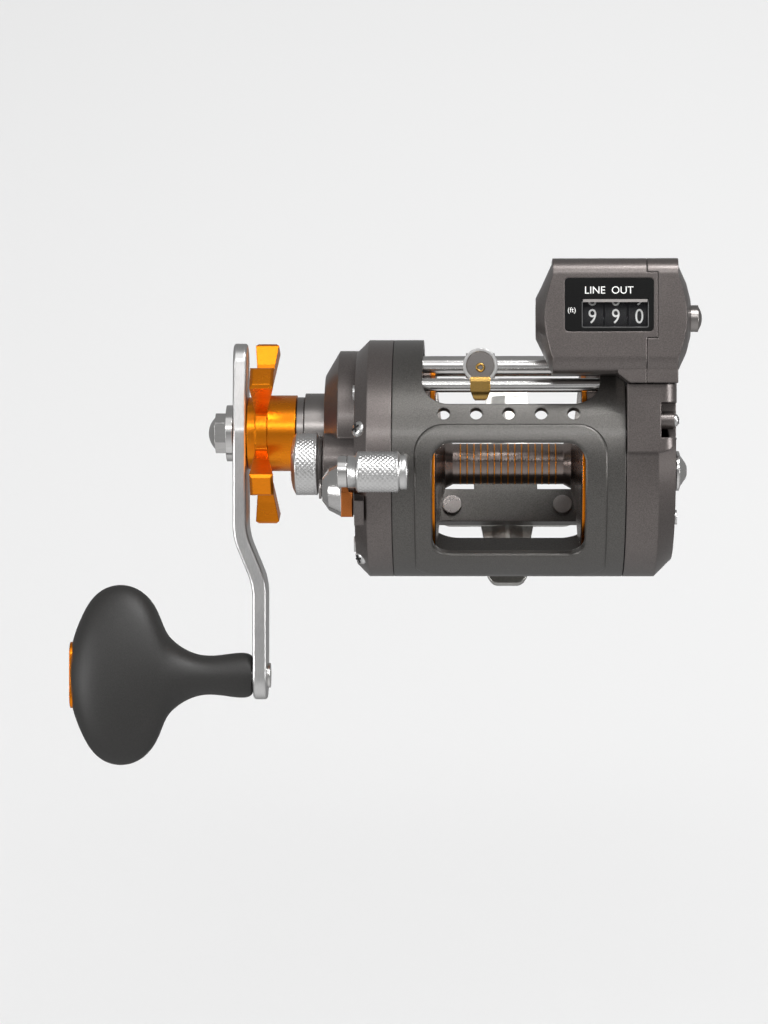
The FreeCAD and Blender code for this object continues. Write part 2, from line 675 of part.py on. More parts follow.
def worm_gear():
    teeth = gear(WORM_GEAR_TEETH, TRAIN_MODULE, WORM_PHASE, *TRAIN_X, *WORM_C)
    teeth = teeth.fuse(gear(STEP_SMALL, STEP_MODULE, 0, TRAIN_X[1], STEP_X[1], *WORM_C))
    return teeth.cut(bar(30, 50, 1.4, *WORM_C))


def worm_shaft():
    """The worm inside the guard tube, with crossing grooves left as plain rings."""
    shaft = bar(-37.0, 43.4, 1.4, *WORM_C)
    for i in range(15):
        x = -28 + 4 * i
        shaft = shaft.fuse(bar(x, x + 2.2, 2.0, *WORM_C))
    return shaft


def worm_tube():
    """The guard tube, slotted on its inner side for the pawl."""
    shell = tube(-34.9, 34.9, WORM_TUBE_R - 0.01, 2.3, *WORM_C)
    slot = spin_x(block(-26, 27, -1.0, 1.0, -8, 0), 20)
    slot.translate(V(0, *WORM_C))
    return shell.cut(slot)


def guide_rod():
    return bar(-34.9, 34.9, GUIDE_R - 0.01, *(GUIDE_Y, GUIDE_Z))


# ---------------------------------------------------------------- line guide

GUIDE_X = -8.5
GUIDE_HALF = 3.05


def carriage():
    """The round housing that runs on the guard tube and holds the pawl."""
    x = GUIDE_X
    way = V(0, *leaned(0, 1))
    body = bar(x - 4.4, x + 4.4, 3.95, *WORM_C)
    y, z = leaned(0, 1.7)
    body = body.fuse(Part.makeCylinder(5.3, 4.2, V(x, WORM_Y + y, WORM_Z + z), way))
    body = body.cut(bar(x - 9, x + 9, WORM_TUBE_R + FIT, *WORM_C))
    y, z = leaned(0, 4.2)
    pocket = Part.makeCylinder(4.3, 6, V(x, WORM_Y + y, WORM_Z + z), way)
    return body.cut(pocket)


def pawl_cap():
    x = GUIDE_X
    y, z = leaned(0, 4.25)
    disc = Part.makeCylinder(4.28, 1.3, V(x, WORM_Y + y, WORM_Z + z), V(0, *leaned(0, 1)))
    return disc.cut(bar(x - 9, x + 9, WORM_TUBE_R + FIT, *WORM_C))


def line_eye():
    """The gold plate that hooks over the guide rod, with the line eye behind it."""
    x = GUIDE_X
    lean_cos, lean_sin = math.cos(math.radians(LEAN_DEG)), math.sin(math.radians(LEAN_DEG))
    rod_up = GUIDE_Y * lean_cos + GUIDE_Z * lean_sin
    rod_out = GUIDE_Z * lean_cos - GUIDE_Y * lean_sin
    half = [(GUIDE_HALF, 2.5), (GUIDE_HALF, -1.6), (2.1, -4.0), (1.6, -4.5)]
    outline = [(x + w, rod_up + v) for w, v in half] + [(x - w, rod_up + v) for w, v in reversed(half)]
    corners = [V(px, up, rod_out - 3.4) for px, up in outline]
    plate = Part.Face(Part.makePolygon(corners + corners[:1])).extrude(V(0, 0, 6.8))
    plate = lean(plate.common(bar(x - 5, x + 5, 5.2, rod_up - 0.2, rod_out - 1.6)))
    root = lean(block(x - 1.1, x + 1.1, rod_up - 1.2, rod_up + 0.6, rod_out - 4.0, rod_out - 2.6))
    ring = Part.makeTorus(1.9, 0.55, V(x, rod_up - 0.3, rod_out - 5.4), V(0, 1, 0))
    plate = plate.fuse(root).cut(carriage()).fuse(lean(ring)).removeSplitter()
    return plate.cut(bar(x - 9, x + 9, GUIDE_R + FIT, GUIDE_Y, GUIDE_Z))


# ---------------------------------------------------------------- handle and drag

def drive_shaft():
    shaft = bar(-92.0, -35.4, 3.0, *HANDLE_C)
    return shaft.fuse(bar(-81.0, -50.0, 3.5, *HANDLE_C)).removeSplitter()


def main_gear():
    """The big drive gear, with a round recess on its outer face for the drag stack."""
    wheel = gear(MAIN_TEETH, DRIVE_MODULE, 0, *MAIN_X, *HANDLE_C)
    wheel = wheel.cut(bar(MAIN_X[0] - 1, MAIN_X[0] + 1.7, 13.6, *HANDLE_C))
    return wheel.cut(bar(-60, -30, 3.0, *HANDLE_C))


def drag_washers():
    washers = []
    for i in range(3):
        x = MAIN_X[0] + 1.65 - 0.85 * i
        washers.append(tube(x - 0.8, x, 13.4 - 0.4 * (i % 2), 3.0, *HANDLE_C))
    return group(washers)


def ratchet():
    """Anti-reverse wheel: saw teeth, fixed on the drive shaft."""
    points = []
    for i in range(8):
        points.append(polar(8.6, 45 * i, *HANDLE_C))
        points.append(polar(8.3, 45 * i + 22, *HANDLE_C))
        points.append(polar(6.6, 45 * i + 36, *HANDLE_C))
    return prism(points, -42.8, -41.2).cut(bar(-50, -30, 3.0, *HANDLE_C))


def dog_centre():
    return polar(15.5, -165, *HANDLE_C)


def dog():
    """The pawl of the anti-reverse, which lies lifted clear of the ratchet."""
    cy, cz = dog_centre()
    tip = polar(10.5, -128, *HANDLE_C)
    body = bar(-42.8, -41.2, 2.6, cy, cz).fuse(prism(strip((cy, cz), tip, 1.1), -42.8, -41.2))
    return body.cut(bar(-50, -30, 1.2 + FIT, cy, cz))


def star_spacer():
    return bar(-66.2, -64.0, 11.4, *HANDLE_C).cut(bar(-70, -60, 3.5, *HANDLE_C))


def star_arm(degrees):
    """One arm of the star: a narrow neck that flares evenly into a broad flat tip."""
    tip = STAR_TIP_R
    side = [(-79.0, 7.0), (-75.2, 7.0), (-75.2, 14.5), (-73.9, 21.0), (-72.6, tip - 0.9), (-73.5, tip)]
    side += [(-79.1, tip), (-80.0, tip - 0.9), (-79.5, 21.0), (-79.0, 14.5)]
    corners = [V(x, r, -5.0) for x, r in side]
    arm = Part.Face(Part.makePolygon(corners + corners[:1])).extrude(V(0, 0, 10.0))
    half = [(5.0, 5.0), (14.0, 2.9), (22.0, 3.3), (tip - 0.9, 4.0), (tip, 3.1)]
    outline = [(r, -w) for r, w in half] + [(r, w) for r, w in reversed(half)]
    arm = spin_x(arm.common(prism(outline, -85, -70)), degrees)
    arm.translate(V(0, *HANDLE_C))
    return arm


def star_wheel():
    """Star drag: hub sleeve, five arms and a front disc."""
    parts = [bar(-75.8, -66.5, 12.0, *HANDLE_C), bar(-79.2, -75.2, 12.0, *HANDLE_C)]
    parts.append(bar(-81.8, -79.0, 11.4, *HANDLE_C))
    parts.append(bar(-79.0, -75.4, 13.4, *HANDLE_C))
    for i in range(5):
        parts.append(star_arm(110 + 36 + 72 * i))
    return join(parts).cut(bar(-90, -60, 3.5 + FIT, *HANDLE_C))


def handle_arm():
    """A flat crank, stepped inward on the way to the knob."""
    outer = ARM_OUTER_X
    inner = outer + ARM_THICK
    side = [(outer, -ARM_TAIL), (outer, 33), (outer + ARM_STEP, 48), (outer + ARM_STEP, 86)]
    side += [(inner + ARM_STEP, 86), (inner + ARM_STEP, 46.5), (inner, 31.5), (inner, -ARM_TAIL)]
    corners = [V(x, y, -15) for x, y in side]
    slab = Part.Face(Part.makePolygon(corners + corners[:1])).extrude(V(0, 0, 30))
    bends = []
    for edge in slab.Edges:
        along = edge.Vertexes[0].Point
        flat = abs(edge.Vertexes[1].Point.z - along.z) > 20
        if flat and 30 < along.y < 50:
            bends.append(edge)
    slab = slab.makeFillet(20.0, bends)
    outline = bar(-100, -70, 8.6)
    outline = outline.fuse(bar(-100, -70, 6.6, -ARM_TAIL + 6.6, 0))
    outline = outline.fuse(bar(-100, -70, 7.6, ARM_REACH, 0))
    tail = -ARM_TAIL + 6.6
    outline = outline.fuse(prism([(tail, -6.6), (0, -8.6), (0, 8.6), (tail, 6.6)], -100, -70))
    outline = outline.fuse(prism([(0, -8.6), (ARM_REACH, -7.6), (ARM_REACH, 7.6), (0, 8.6)], -100, -70))
    arm = slab.common(outline)
    arm = arm.cut(bar(-100, -70, 3.0)).cut(bar(-100, -70, 3.0, ARM_REACH, 0)).removeSplitter()
    rims = [e for e in arm.Edges if edge_on_face(e)]
    arm = spin_x(arm.makeFillet(0.9, rims), ARM_DEG)
    arm.translate(V(0, *HANDLE_C))
    return arm


def edge_on_face(edge):
    """True for the straight outline edges of the arm's two flat ends."""
    box = edge.BoundBox
    return box.XLength < 1e-4 and box.YLength > 20 and box.YMax < 32.0


def handle_nut():
    points = [polar(6.3, 110 + 30 + 60 * i, *HANDLE_C) for i in range(6)]
    nut = prism(points, -92.4, -88.8).cut(bar(-100, -80, 3.0, *HANDLE_C))
    cap = Part.makeSphere(7.0, V(-87.6, *HANDLE_C)).common(bar(-95, -92.2, 5.2, *HANDLE_C))
    return nut.fuse(cap).removeSplitter()


def handle_washer():
    return tube(-88.75, -86.55, 8.9, 3.0, *HANDLE_C)


def knob_centre():
    return polar(ARM_REACH, ARM_DEG, *HANDLE_C)


def knob_post():
    y, z = knob_centre()
    post = bar(-132.0, -75.9, 2.95, y, z).fuse(bar(-75.9, -75.0, 3.9, y, z))
    return post.fuse(bar(-133.0, -132.0, 3.6, y, z))


# The grip's half widths along and across the crank at each x
GRIP_SECTIONS = ((-80.8, 5.9, 5.9), (-92.0, 6.3, 6.2), (-99.0, 6.9, 6.6), (-104.0, 9.4, 7.4),
                 (-108.8, 15.0, 8.6), (-113.0, 23.6, 9.6), (-118.0, 27.6, 10.2), (-123.0, 28.6, 10.4), (-128.5, 27.0, 10.0),
                 (-133.0, 22.4, 8.8), (-136.3, 15.6, 6.8), (-138.2, 8.0, 4.0))


def oval(x, half_along, half_across):
    if abs(half_along - half_across) < 1e-6:
        half_along += 1e-4
    if half_along > half_across:
        ring = Part.Ellipse(V(x, half_along, 0), V(x, 0, half_across), V(x, 0, 0))
    else:
        ring = Part.Ellipse(V(x, 0, half_across), V(x, half_along, 0), V(x, 0, 0))
    return Part.Wire(ring.toShape())


def knob_grip():
    """T-shaped grip: a round stem that swells into a broad, soft oval bar."""
    body = Part.makeLoft([oval(*row) for row in GRIP_SECTIONS], True)
    body = body.cut(bar(-133.2, -70, 3.0 + FIT)).cut(bar(-134.4, -131.9, 3.7))
    body = body.cut(cap_shape())
    body = spin_x(body, ARM_DEG)
    body.translate(V(0, *knob_centre()))
    return body


def cap_shape():
    return rounded_box(-138.6, -136.4, -10.5, 10.5, -4.4, 4.4, 4.3, X_AXIS)


def knob_end_cap():
    """A thin anodised badge plate let into the outer face of the grip."""
    cap = spin_x(cap_shape(), ARM_DEG)
    cap.translate(V(0, *knob_centre()))
    return cap


# ---------------------------------------------------------------- small controls

def lever_arm():
    """Freespool lever: a boss on the cover and a plate that rises to the grip."""
    plate = bar(-50.6, -47.9, 8.4, LEVER_Y, LEVER_Z)
    plate = plate.fuse(taper(-54.4, -50.6, 6.4, 8.4, LEVER_Y, LEVER_Z))
    plate = plate.fuse(taper(-56.4, -54.4, 3.6, 6.4, LEVER_Y, LEVER_Z))
    plate = plate.fuse(prism(strip((LEVER_Y, LEVER_Z), (GRIP_Y, GRIP_Z), 3.6), -50.6, -47.9))
    plate = plate.fuse(bar(-50.6, -47.9, 4.8, GRIP_Y, GRIP_Z))
    plate = plate.fuse(bar(-47.9, -46.0, 2.2, GRIP_Y, GRIP_Z))
    return plate.cut(bar(-60, -46.2, 2.0 + FIT, LEVER_Y, LEVER_Z)).removeSplitter()


def lever_grip():
    """Knurled barrel with a smooth neck and an end ring with a small hole."""
    y, z = GRIP_Y, GRIP_Z
    barrel = bar(-47.9, -45.2, 4.85, y, z).fuse(bar(-45.2, -32.3, 6.15, y, z))
    barrel = barrel.fuse(bar(-32.3, -29.8, 5.35, y, z))
    barrel = barrel.cut(bar(-50, -45.9, 2.2, y, z))
    return barrel.cut(bar(-31.3, -20, 1.3, y, z)).removeSplitter()


def lever_insert():
    """The orange cam piece on the inner face of the lever."""
    cam = lean(block(-50.2, -46.9, -16.4, -9.0, 24.5, 34.5))
    return max(cam.cut(lever_arm()).Solids, key=lambda s: s.Volume)


def lever_pivot():
    shank = bar(-56.8, -46.5, 2.0, LEVER_Y, LEVER_Z)
    return shank.fuse(bar(-57.4, -56.7, 2.9, LEVER_Y, LEVER_Z))


def lever_stop():
    """A dark stop block on the cover behind the lever."""
    stop = spin_x(block(-46.3, -43.4, -4.0, 4.0, 0, 5.2), 43)
    stop.translate(V(0, *polar(34.2, 136, DRUM_Y)))
    cover = bar(-42.7, -FRAME_HALF - 0.2, DRUM_R, DRUM_Y)
    cover = cover.fuse(taper(-46.5, -42.7, 32.8, DRUM_R, DRUM_Y))
    return stop.cut(cover)


def tension_knob():
    """Cast-control knob with a domed face, on the spool axis."""
    knob = bar(-65.5, -59.1, 9.7).fuse(taper(-67.2, -65.5, 7.6, 9.7))
    knob = knob.fuse(taper(-59.1, -58.2, 9.7, 8.6)).fuse(bar(-58.6, -57.4, 8.1))
    return knob.cut(bar(-63.0, -50, 6.0)).removeSplitter()


def clicker():
    """Sliding clicker button, its post through the cover and its tongue inside."""
    y, z = leaned(-2.5, 24)
    profile = [(46.0, 0), (46.0, 1.5), (50.5, 1.5), (50.5, 6.0), (51.3, 6.0), (51.8, 4.6), (53.3, 2.4)]
    profile += [(53.7, 1.4), (53.7, 0)]
    tongue = lean(block(44.8, 46.7, -4.4, -0.6, 17.0, 26.5))
    return turned(profile, y, z).fuse(tongue)


# ---------------------------------------------------------------- build

def build():
    os.makedirs("parts", exist_ok=True)
    housing, housing_cap = counter_parts()
    lugs = [polar(15, 150), polar(15, 60)]
    pieces = {
        "frame": frame(),
        "reel_foot": foot(),
        "foot_rivets": foot_rivets(),
        "handle_side_cover": handle_cover(),
        "handle_bridge_plate": handle_bridge(),
        "counter_side_cover": counter_cover(),
        "counter_bridge_plate": counter_bridge(),
        "cover_screws": cover_screws(),
        "guide_rod": guide_rod(),
        "worm_guard_tube": worm_tube(),
        "ball_bearings": bearings(),
        "drive_housing": drive_housing(),
        "gear_studs": gear_studs(),
        "counter_housing": housing,
        "counter_housing_cover": housing_cap,
        "counter_window": counter_window(),
        "counter_lens": counter_lens(),
        "counter_axle": counter_axle(),
        "counter_gear": counter_gear(),
        "counter_idler": step_idler(),
        "reset_button": reset_button(),
        "reset_spring": spring(46.7, 50.5, 2.2, 0.45, 2, *WHEEL_C),
        "spool": spool(),
        "spool_rims": spool_rims(),
        "spool_shaft": spool_shaft(),
        "clutch_pin": clutch_pin(),
        "pinion_gear": pinion(),
        "clutch_yoke": yoke(),
        "clutch_springs": group([spring(-44.1, -41.0, 1.8, 0.25, 3, y, z) for y, z in lugs]),
        "click_wheel": click_wheel(),
        "spool_gear": spool_gear(),
        "level_wind_idler": level_wind_idler(),
        "worm_gear": worm_gear(),
        "worm_shaft": worm_shaft(),
        "line_guide_carriage": carriage(),
        "pawl_cap": pawl_cap(),
        "line_guide_eye": line_eye(),
        "drive_shaft": drive_shaft(),
        "main_gear": main_gear(),
        "drag_washers": drag_washers(),
        "ratchet_wheel": ratchet(),
        "anti_reverse_dog": dog(),
        "star_spacer": star_spacer(),
        "star_wheel": star_wheel(),
        "handle_arm": handle_arm(),
        "handle_nut": handle_nut(),
        "handle_washer": handle_washer(),
        "knob_post": knob_post(),
        "knob_grip": knob_grip(),
        "knob_end_cap": knob_end_cap(),
        "lever_arm": lever_arm(),
        "lever_grip": lever_grip(),
        "lever_insert": lever_insert(),
        "lever_pivot": lever_pivot(),
        "lever_stop": lever_stop(),
        "tension_knob": tension_knob(),
        "clicker_button": clicker(),
    }
    for name, (x0, x1) in zip(("hundreds", "tens", "units"), WHEEL_X):
        pieces["number_wheel_" + name] = number_wheel(x0, x1)
    for name, shape in pieces.items():
        save(name, shape)
        print(name, len(shape.Solids), shape.isValid(), round(shape.Volume, 1))


build()
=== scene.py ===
"""Looks of the trolling reel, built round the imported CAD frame. Metres throughout."""
import json
import math

import bpy
import bmesh
from mathutils import Matrix, Vector


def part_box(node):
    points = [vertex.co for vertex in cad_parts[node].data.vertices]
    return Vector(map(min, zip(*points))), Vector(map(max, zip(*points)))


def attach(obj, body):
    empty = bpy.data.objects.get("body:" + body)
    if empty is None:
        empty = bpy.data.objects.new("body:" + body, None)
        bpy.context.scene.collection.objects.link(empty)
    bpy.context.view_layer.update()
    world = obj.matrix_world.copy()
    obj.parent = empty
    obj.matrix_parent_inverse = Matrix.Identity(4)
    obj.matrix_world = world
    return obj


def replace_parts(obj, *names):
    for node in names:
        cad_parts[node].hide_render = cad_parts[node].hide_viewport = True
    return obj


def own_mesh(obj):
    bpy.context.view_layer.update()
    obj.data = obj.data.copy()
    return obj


MM = 0.001
LEAN = math.radians(20)
UP = Vector((0, math.cos(LEAN), math.sin(LEAN)))       # across the leaned counter
OUT = Vector((0, -math.sin(LEAN), math.cos(LEAN)))     # towards the angler's eye

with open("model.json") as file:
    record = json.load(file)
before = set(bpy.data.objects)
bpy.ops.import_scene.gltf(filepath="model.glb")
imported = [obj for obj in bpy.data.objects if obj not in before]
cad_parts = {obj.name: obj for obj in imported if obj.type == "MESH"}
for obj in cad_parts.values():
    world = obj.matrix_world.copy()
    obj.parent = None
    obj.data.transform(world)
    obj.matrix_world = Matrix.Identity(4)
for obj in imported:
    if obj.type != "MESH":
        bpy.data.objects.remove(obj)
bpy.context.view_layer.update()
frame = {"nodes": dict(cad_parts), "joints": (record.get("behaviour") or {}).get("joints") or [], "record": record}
joints = {j["name"]: j for j in frame["joints"]}
SPOOL = Vector((0, *joints["spool_spin"]["pos_m"][1:]))
WHEELS = Vector((0, *joints["units_spin"]["pos_m"][1:]))


def box(node):
    low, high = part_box(node)
    return Vector(low), Vector(high)


def middle(node):
    low, high = box(node)
    return (low + high) / 2


# ---------------------------------------------------------------- camera, light, floor

CAMERA_AWAY = 1.0
CAMERA_LENS = 113.4
CAMERA_X = -7.1 * MM
CAMERA_DOWN = -14.9 * MM
AIM_X = -38.4 * MM
FLOOR_Z = -0.45
FLOOR_WASH = 17
SKY_CENTRE = (OUT * 0.3 - UP).normalized()
# Brightness of the sky from above and behind the object (0) to below the camera (1)
SKY = ((0.0, 0.30), (0.30, 0.30), (0.63, 0.28), (0.85, 0.58), (0.94, 0.74), (1.0, 0.80))


def look_at(thing, place, target, up):
    """Put thing at place, its -Z towards target."""
    back = (place - target).normalized()
    right = up.cross(back).normalized()
    rows = Matrix((right, back.cross(right), back)).transposed()
    thing.matrix_world = Matrix.Translation(place) @ rows.to_4x4()


def add_camera():
    """A long lens that looks squarely at the leaned counter."""
    data = bpy.data.cameras.new("camera")
    data.lens = CAMERA_LENS
    data.sensor_width = 36
    data.sensor_fit = "AUTO"
    data.clip_end = 20
    camera = bpy.data.objects.new("camera", data)
    bpy.context.collection.objects.link(camera)
    base = SPOOL + UP * CAMERA_DOWN
    place = base + Vector((CAMERA_X, 0, 0)) + OUT * CAMERA_AWAY
    look_at(camera, place, base + Vector((AIM_X, 0, 0)), UP)
    bpy.context.scene.camera = camera


def add_area(name, place, size, power):
    """A rectangular soft light that faces the spool."""
    data = bpy.data.lights.new(name, "AREA")
    data.shape = "RECTANGLE"
    data.size, data.size_y = size
    data.energy = power
    light = bpy.data.objects.new(name, data)
    bpy.context.collection.objects.link(light)
    look_at(light, Vector(place), SPOOL, Vector((0, 0.2, 1)))


def add_studio():
    """A soft sky, brightest below the camera, and four area lights."""
    scene = bpy.context.scene
    scene.view_settings.view_transform = "Standard"
    world = bpy.data.worlds.new("studio")
    scene.world = world
    world.use_nodes = True
    tree = world.node_tree
    back = tree.nodes["Background"]
    back.inputs["Strength"].default_value = 1.0
    coord = tree.nodes.new("ShaderNodeTexCoord")
    facing = tree.nodes.new("ShaderNodeVectorMath")
    facing.operation = "DOT_PRODUCT"
    facing.inputs[1].default_value = SKY_CENTRE
    tree.links.new(coord.outputs["Generated"], facing.inputs[0])
    sky = tree.nodes.new("ShaderNodeValToRGB")
    stops = sky.color_ramp.elements
    while len(stops) < len(SKY):
        stops.new(0.5)
    for stop, (place, level) in zip(stops, SKY):
        stop.position = place
        stop.color = (level, level, level, 1)
    spread = tree.nodes.new("ShaderNodeMapRange")
    spread.inputs["From Min"].default_value = -1.0
    tree.links.new(facing.outputs["Value"], spread.inputs["Value"])
    tree.links.new(spread.outputs["Result"], sky.inputs["Fac"])
    tree.links.new(sky.outputs["Color"], back.inputs["Color"])
    add_area("front", SPOOL + OUT * 1.15 + UP * 0.50, (1.0, 0.12), 2.2)
    add_area("key", (0.25, 0.50, 0.85), (0.34, 0.20), 5)
    add_area("left_strip", (-0.80, -0.25, 0.45), (0.18, 0.6), 3)
    add_area("right_strip", (0.85, -0.10, 0.40), (0.18, 0.6), 3)

def add_floor():
    """A plain pale floor, hidden from mirror-like faces, with its own wash of light."""
    mesh = bpy.data.meshes.new("floor")
    reach = 9.0
    corners = [(x * reach, y * reach, FLOOR_Z) for x, y in ((-1, -1), (1, -1), (1, 1), (-1, 1))]
    mesh.from_pydata(corners, [], [(0, 1, 2, 3)])
    floor = bpy.data.objects.new("floor", mesh)
    bpy.context.collection.objects.link(floor)
    mesh.materials.append(plain_floor())
    floor.visible_glossy = False
    add_area("floor_wash", (0.0, 0.75, 2.6), (3.0, 3.0), FLOOR_WASH)


# ---------------------------------------------------------------- materials

def new_material(name):
    material = bpy.data.materials.new(name)
    material.use_nodes = True
    tree = material.node_tree
    shader = tree.nodes["Principled BSDF"]
    return material, tree, shader


def add_node(tree, kind, **values):
    """A shader node with its sockets and properties set by name."""
    node = tree.nodes.new(kind)
    for key, value in values.items():
        if key in node.inputs.keys():
            node.inputs[key].default_value = value
        else:
            setattr(node, key, value)
    return node


def noise(tree, scale, detail=4.0, stretch=(1, 1, 1)):
    """Noise in object space; the scale counts blobs per metre."""
    coord = add_node(tree, "ShaderNodeTexCoord")
    mapping = add_node(tree, "ShaderNodeMapping")
    mapping.inputs["Scale"].default_value = stretch
    tree.links.new(coord.outputs["Object"], mapping.inputs["Vector"])
    texture = add_node(tree, "ShaderNodeTexNoise", Scale=scale, Detail=detail)
    tree.links.new(mapping.outputs["Vector"], texture.inputs["Vector"])
    return texture


def ramp(tree, source, low, high, start=0.35, end=0.65):
    """A colour that goes from low to high over the middle of the source."""
    node = add_node(tree, "ShaderNodeValToRGB")
    node.color_ramp.elements[0].position = start
    node.color_ramp.elements[1].position = end
    node.color_ramp.elements[0].color = low
    node.color_ramp.elements[1].color = high
    tree.links.new(source, node.inputs["Fac"])
    return node.outputs["Color"]


def span(tree, source, low, high):
    """Stretches 0..1 to low..high."""
    node = add_node(tree, "ShaderNodeMapRange")
    node.inputs["To Min"].default_value = low
    node.inputs["To Max"].default_value = high
    tree.links.new(source, node.inputs["Value"])
    return node.outputs["Result"]


def bump(tree, shader, height, strength, distance, soft_edge=0.0):
    """Fine relief; soft_edge rounds the look of sharp corners by that radius."""
    node = add_node(tree, "ShaderNodeBump")
    node.inputs["Strength"].default_value = strength
    node.inputs["Distance"].default_value = distance
    tree.links.new(height, node.inputs["Height"])
    if soft_edge:
        edge = add_node(tree, "ShaderNodeBevel", samples=4)
        edge.inputs["Radius"].default_value = soft_edge
        tree.links.new(edge.outputs["Normal"], node.inputs["Normal"])
    tree.links.new(node.outputs["Normal"], shader.inputs["Normal"])


def shade(colour, factor):
    return (colour[0] * factor, colour[1] * factor, colour[2] * factor, 1)


def surface(name, colour, metallic, rough, grain=2500, vary=0.12, relief=0.08, depth=0.00004,
            stretch=(1, 1, 1), soft_edge=0.0, coat=0.0):
    """A finish with colour flecks, uneven gloss, smudges and fine relief."""
    material, tree, shader = new_material(name)
    fine = noise(tree, grain, 3.0, stretch)
    broad = noise(tree, 60, 5.0)
    mix = add_node(tree, "ShaderNodeMix", data_type="RGBA", blend_type="MULTIPLY")
    mix.inputs["Factor"].default_value = 1.0
    tint = ramp(tree, fine.outputs["Fac"], shade(colour, 1 - vary), shade(colour, 1 + vary))
    cloud = ramp(tree, broad.outputs["Fac"], (0.93, 0.93, 0.93, 1), (1, 1, 1, 1))
    tree.links.new(tint, mix.inputs[6])
    tree.links.new(cloud, mix.inputs[7])
    tree.links.new(mix.outputs[2], shader.inputs["Base Color"])
    tree.links.new(span(tree, broad.outputs["Fac"], rough * 0.85, rough * 1.15), shader.inputs["Roughness"])
    shader.inputs["Metallic"].default_value = metallic
    shader.inputs["Coat Weight"].default_value = coat
    shader.inputs["Coat Roughness"].default_value = 0.15
    bump(tree, shader, fine.outputs["Fac"], relief, depth, soft_edge)
    return material


def dull(material, level):
    """Less mirror-like, for faces that lie square to the bright sky."""
    material.node_tree.nodes["Principled BSDF"].inputs["Specular IOR Level"].default_value = level


def plain_floor():
    material, _, shader = new_material("floor")
    shader.inputs["Base Color"].default_value = (0.86, 0.86, 0.86, 1)
    shader.inputs["Roughness"].default_value = 0.9
    shader.inputs["Specular IOR Level"].default_value = 0.1
    return material


def clear_plastic():
    material, tree, shader = new_material("clear")
    shader.inputs["Base Color"].default_value = (0.10, 0.10, 0.11, 1)
    shader.inputs["IOR"].default_value = 1.45
    shader.inputs["Alpha"].default_value = 0.06
    haze = noise(tree, 900, 3.0)
    tree.links.new(span(tree, haze.outputs["Fac"], 0.02, 0.06), shader.inputs["Roughness"])
    return material


# name: colour, metallic, roughness, grain per metre, colour variation, relief, its depth in metres
MATERIALS = {
    "gunmetal": surface("gunmetal", (0.105, 0.100, 0.094), 0.75, 0.36, 3200, 0.20, 0.12, 0.00003,
                        soft_edge=0.0006, coat=0.25),
    "side_gunmetal": surface("side_gunmetal", (0.150, 0.132, 0.126), 0.8, 0.34, 3200, 0.18, 0.12, 0.00003,
                             soft_edge=0.0006, coat=0.25),
    "foot_metal": surface("foot_metal", (0.60, 0.59, 0.56), 1.0, 0.33, 900, 0.06, 0.25, 0.00012,
                          soft_edge=0.0007),
    "steel": surface("steel", (0.66, 0.65, 0.64), 1.0, 0.17, 2600, 0.03, 0.02, 0.000004, (0.1, 1, 1), 0.0003),
    "silver": surface("silver", (0.66, 0.655, 0.65), 1.0, 0.32, 3200, 0.05, 0.08, 0.00003,
                      (1, 0.2, 0.2), 0.0004),
    "grey_metal": surface("grey_metal", (0.30, 0.28, 0.27), 1.0, 0.28, 3200, 0.06, 0.08, 0.00003,
                          soft_edge=0.0004),
    "orange": surface("orange", (0.86, 0.25, 0.012), 1.0, 0.27, 3600, 0.05, 0.06, 0.00002,
                      (0.2, 1, 1), 0.0005),
    "gold": surface("gold", (0.48, 0.30, 0.09), 1.0, 0.26, 2600, 0.06, 0.06, 0.00003, soft_edge=0.0004),
    "spool_dark": surface("spool_dark", (0.30, 0.25, 0.23), 1.0, 0.26, 2600, 0.05, 0.02, 0.000006,
                          (1, 0.1, 0.1), 0.0004),
    "black_grip": surface("black_grip", (0.022, 0.021, 0.020), 0.0, 0.50, 3800, 0.25, 0.30, 0.00006),
    "black_plastic": surface("black_plastic", (0.006, 0.006, 0.006), 0.0, 0.34, 3000, 0.2, 0.05, 0.00003,
                             soft_edge=0.0003),
    "brass_gear": surface("brass_gear", (0.60, 0.42, 0.17), 1.0, 0.3, 2600, 0.06, 0.06, 0.00003),
    # The slot of the digit drums, whose digits alone are white
    "white_plastic": surface("drum_plastic", (0.010, 0.010, 0.010), 0.0, 0.45, 3000, 0.2, 0.06, 0.00003),
    "clear": clear_plastic(),
    "fibre": surface("fibre", (0.09, 0.075, 0.06), 0.0, 0.8, 1800, 0.3, 0.4, 0.0001),
    "bearing_steel": surface("bearing_steel", (0.5, 0.5, 0.5), 1.0, 0.25, 2600, 0.05, 0.05, 0.00003),
}
dull(MATERIALS["black_plastic"], 0.15)
dull(MATERIALS["white_plastic"], 0.2)
dull(MATERIALS["clear"], 0.25)
DIGIT_WHITE = surface("digit_white", (0.95, 0.95, 0.93), 0.0, 0.5, 3000, 0.03, 0.02, 0.00002)
BEZEL = surface("bezel", (0.07, 0.07, 0.07), 0.0, 0.35, 3000, 0.1, 0.05, 0.00003)
# A lighter copy of the bezel finish: painted highlight along the aperture's top lip.
BEZEL_PAINTED_HIGHLIGHT = surface("bezel_painted_highlight", (0.30, 0.28, 0.27), 0.0, 0.35, 3000, 0.1, 0.05, 0.00003)
# Near-black for the screws' cross recesses: painted shade.
SLOT_PAINTED_SHADE = surface("slot_painted_shade", (0.02, 0.02, 0.02), 0.3, 0.6, 3000, 0.2, 0.1, 0.00003)
COPPER = surface("copper", (0.50, 0.155, 0.035), 0.8, 0.38, 3600, 0.08, 0.10, 0.00003, soft_edge=0.0004)
STRIPE = surface("stripe", (0.95, 0.38, 0.06), 0.9, 0.25, 3000, 0.05, 0.03, 0.00002)


# Nodes whose finish differs from the rest of their slot
NODE_LOOKS = {
    "lever_insert": COPPER,
    "lever_stop": MATERIALS["side_gunmetal"],
    "foot_rivets": MATERIALS["grey_metal"],
}


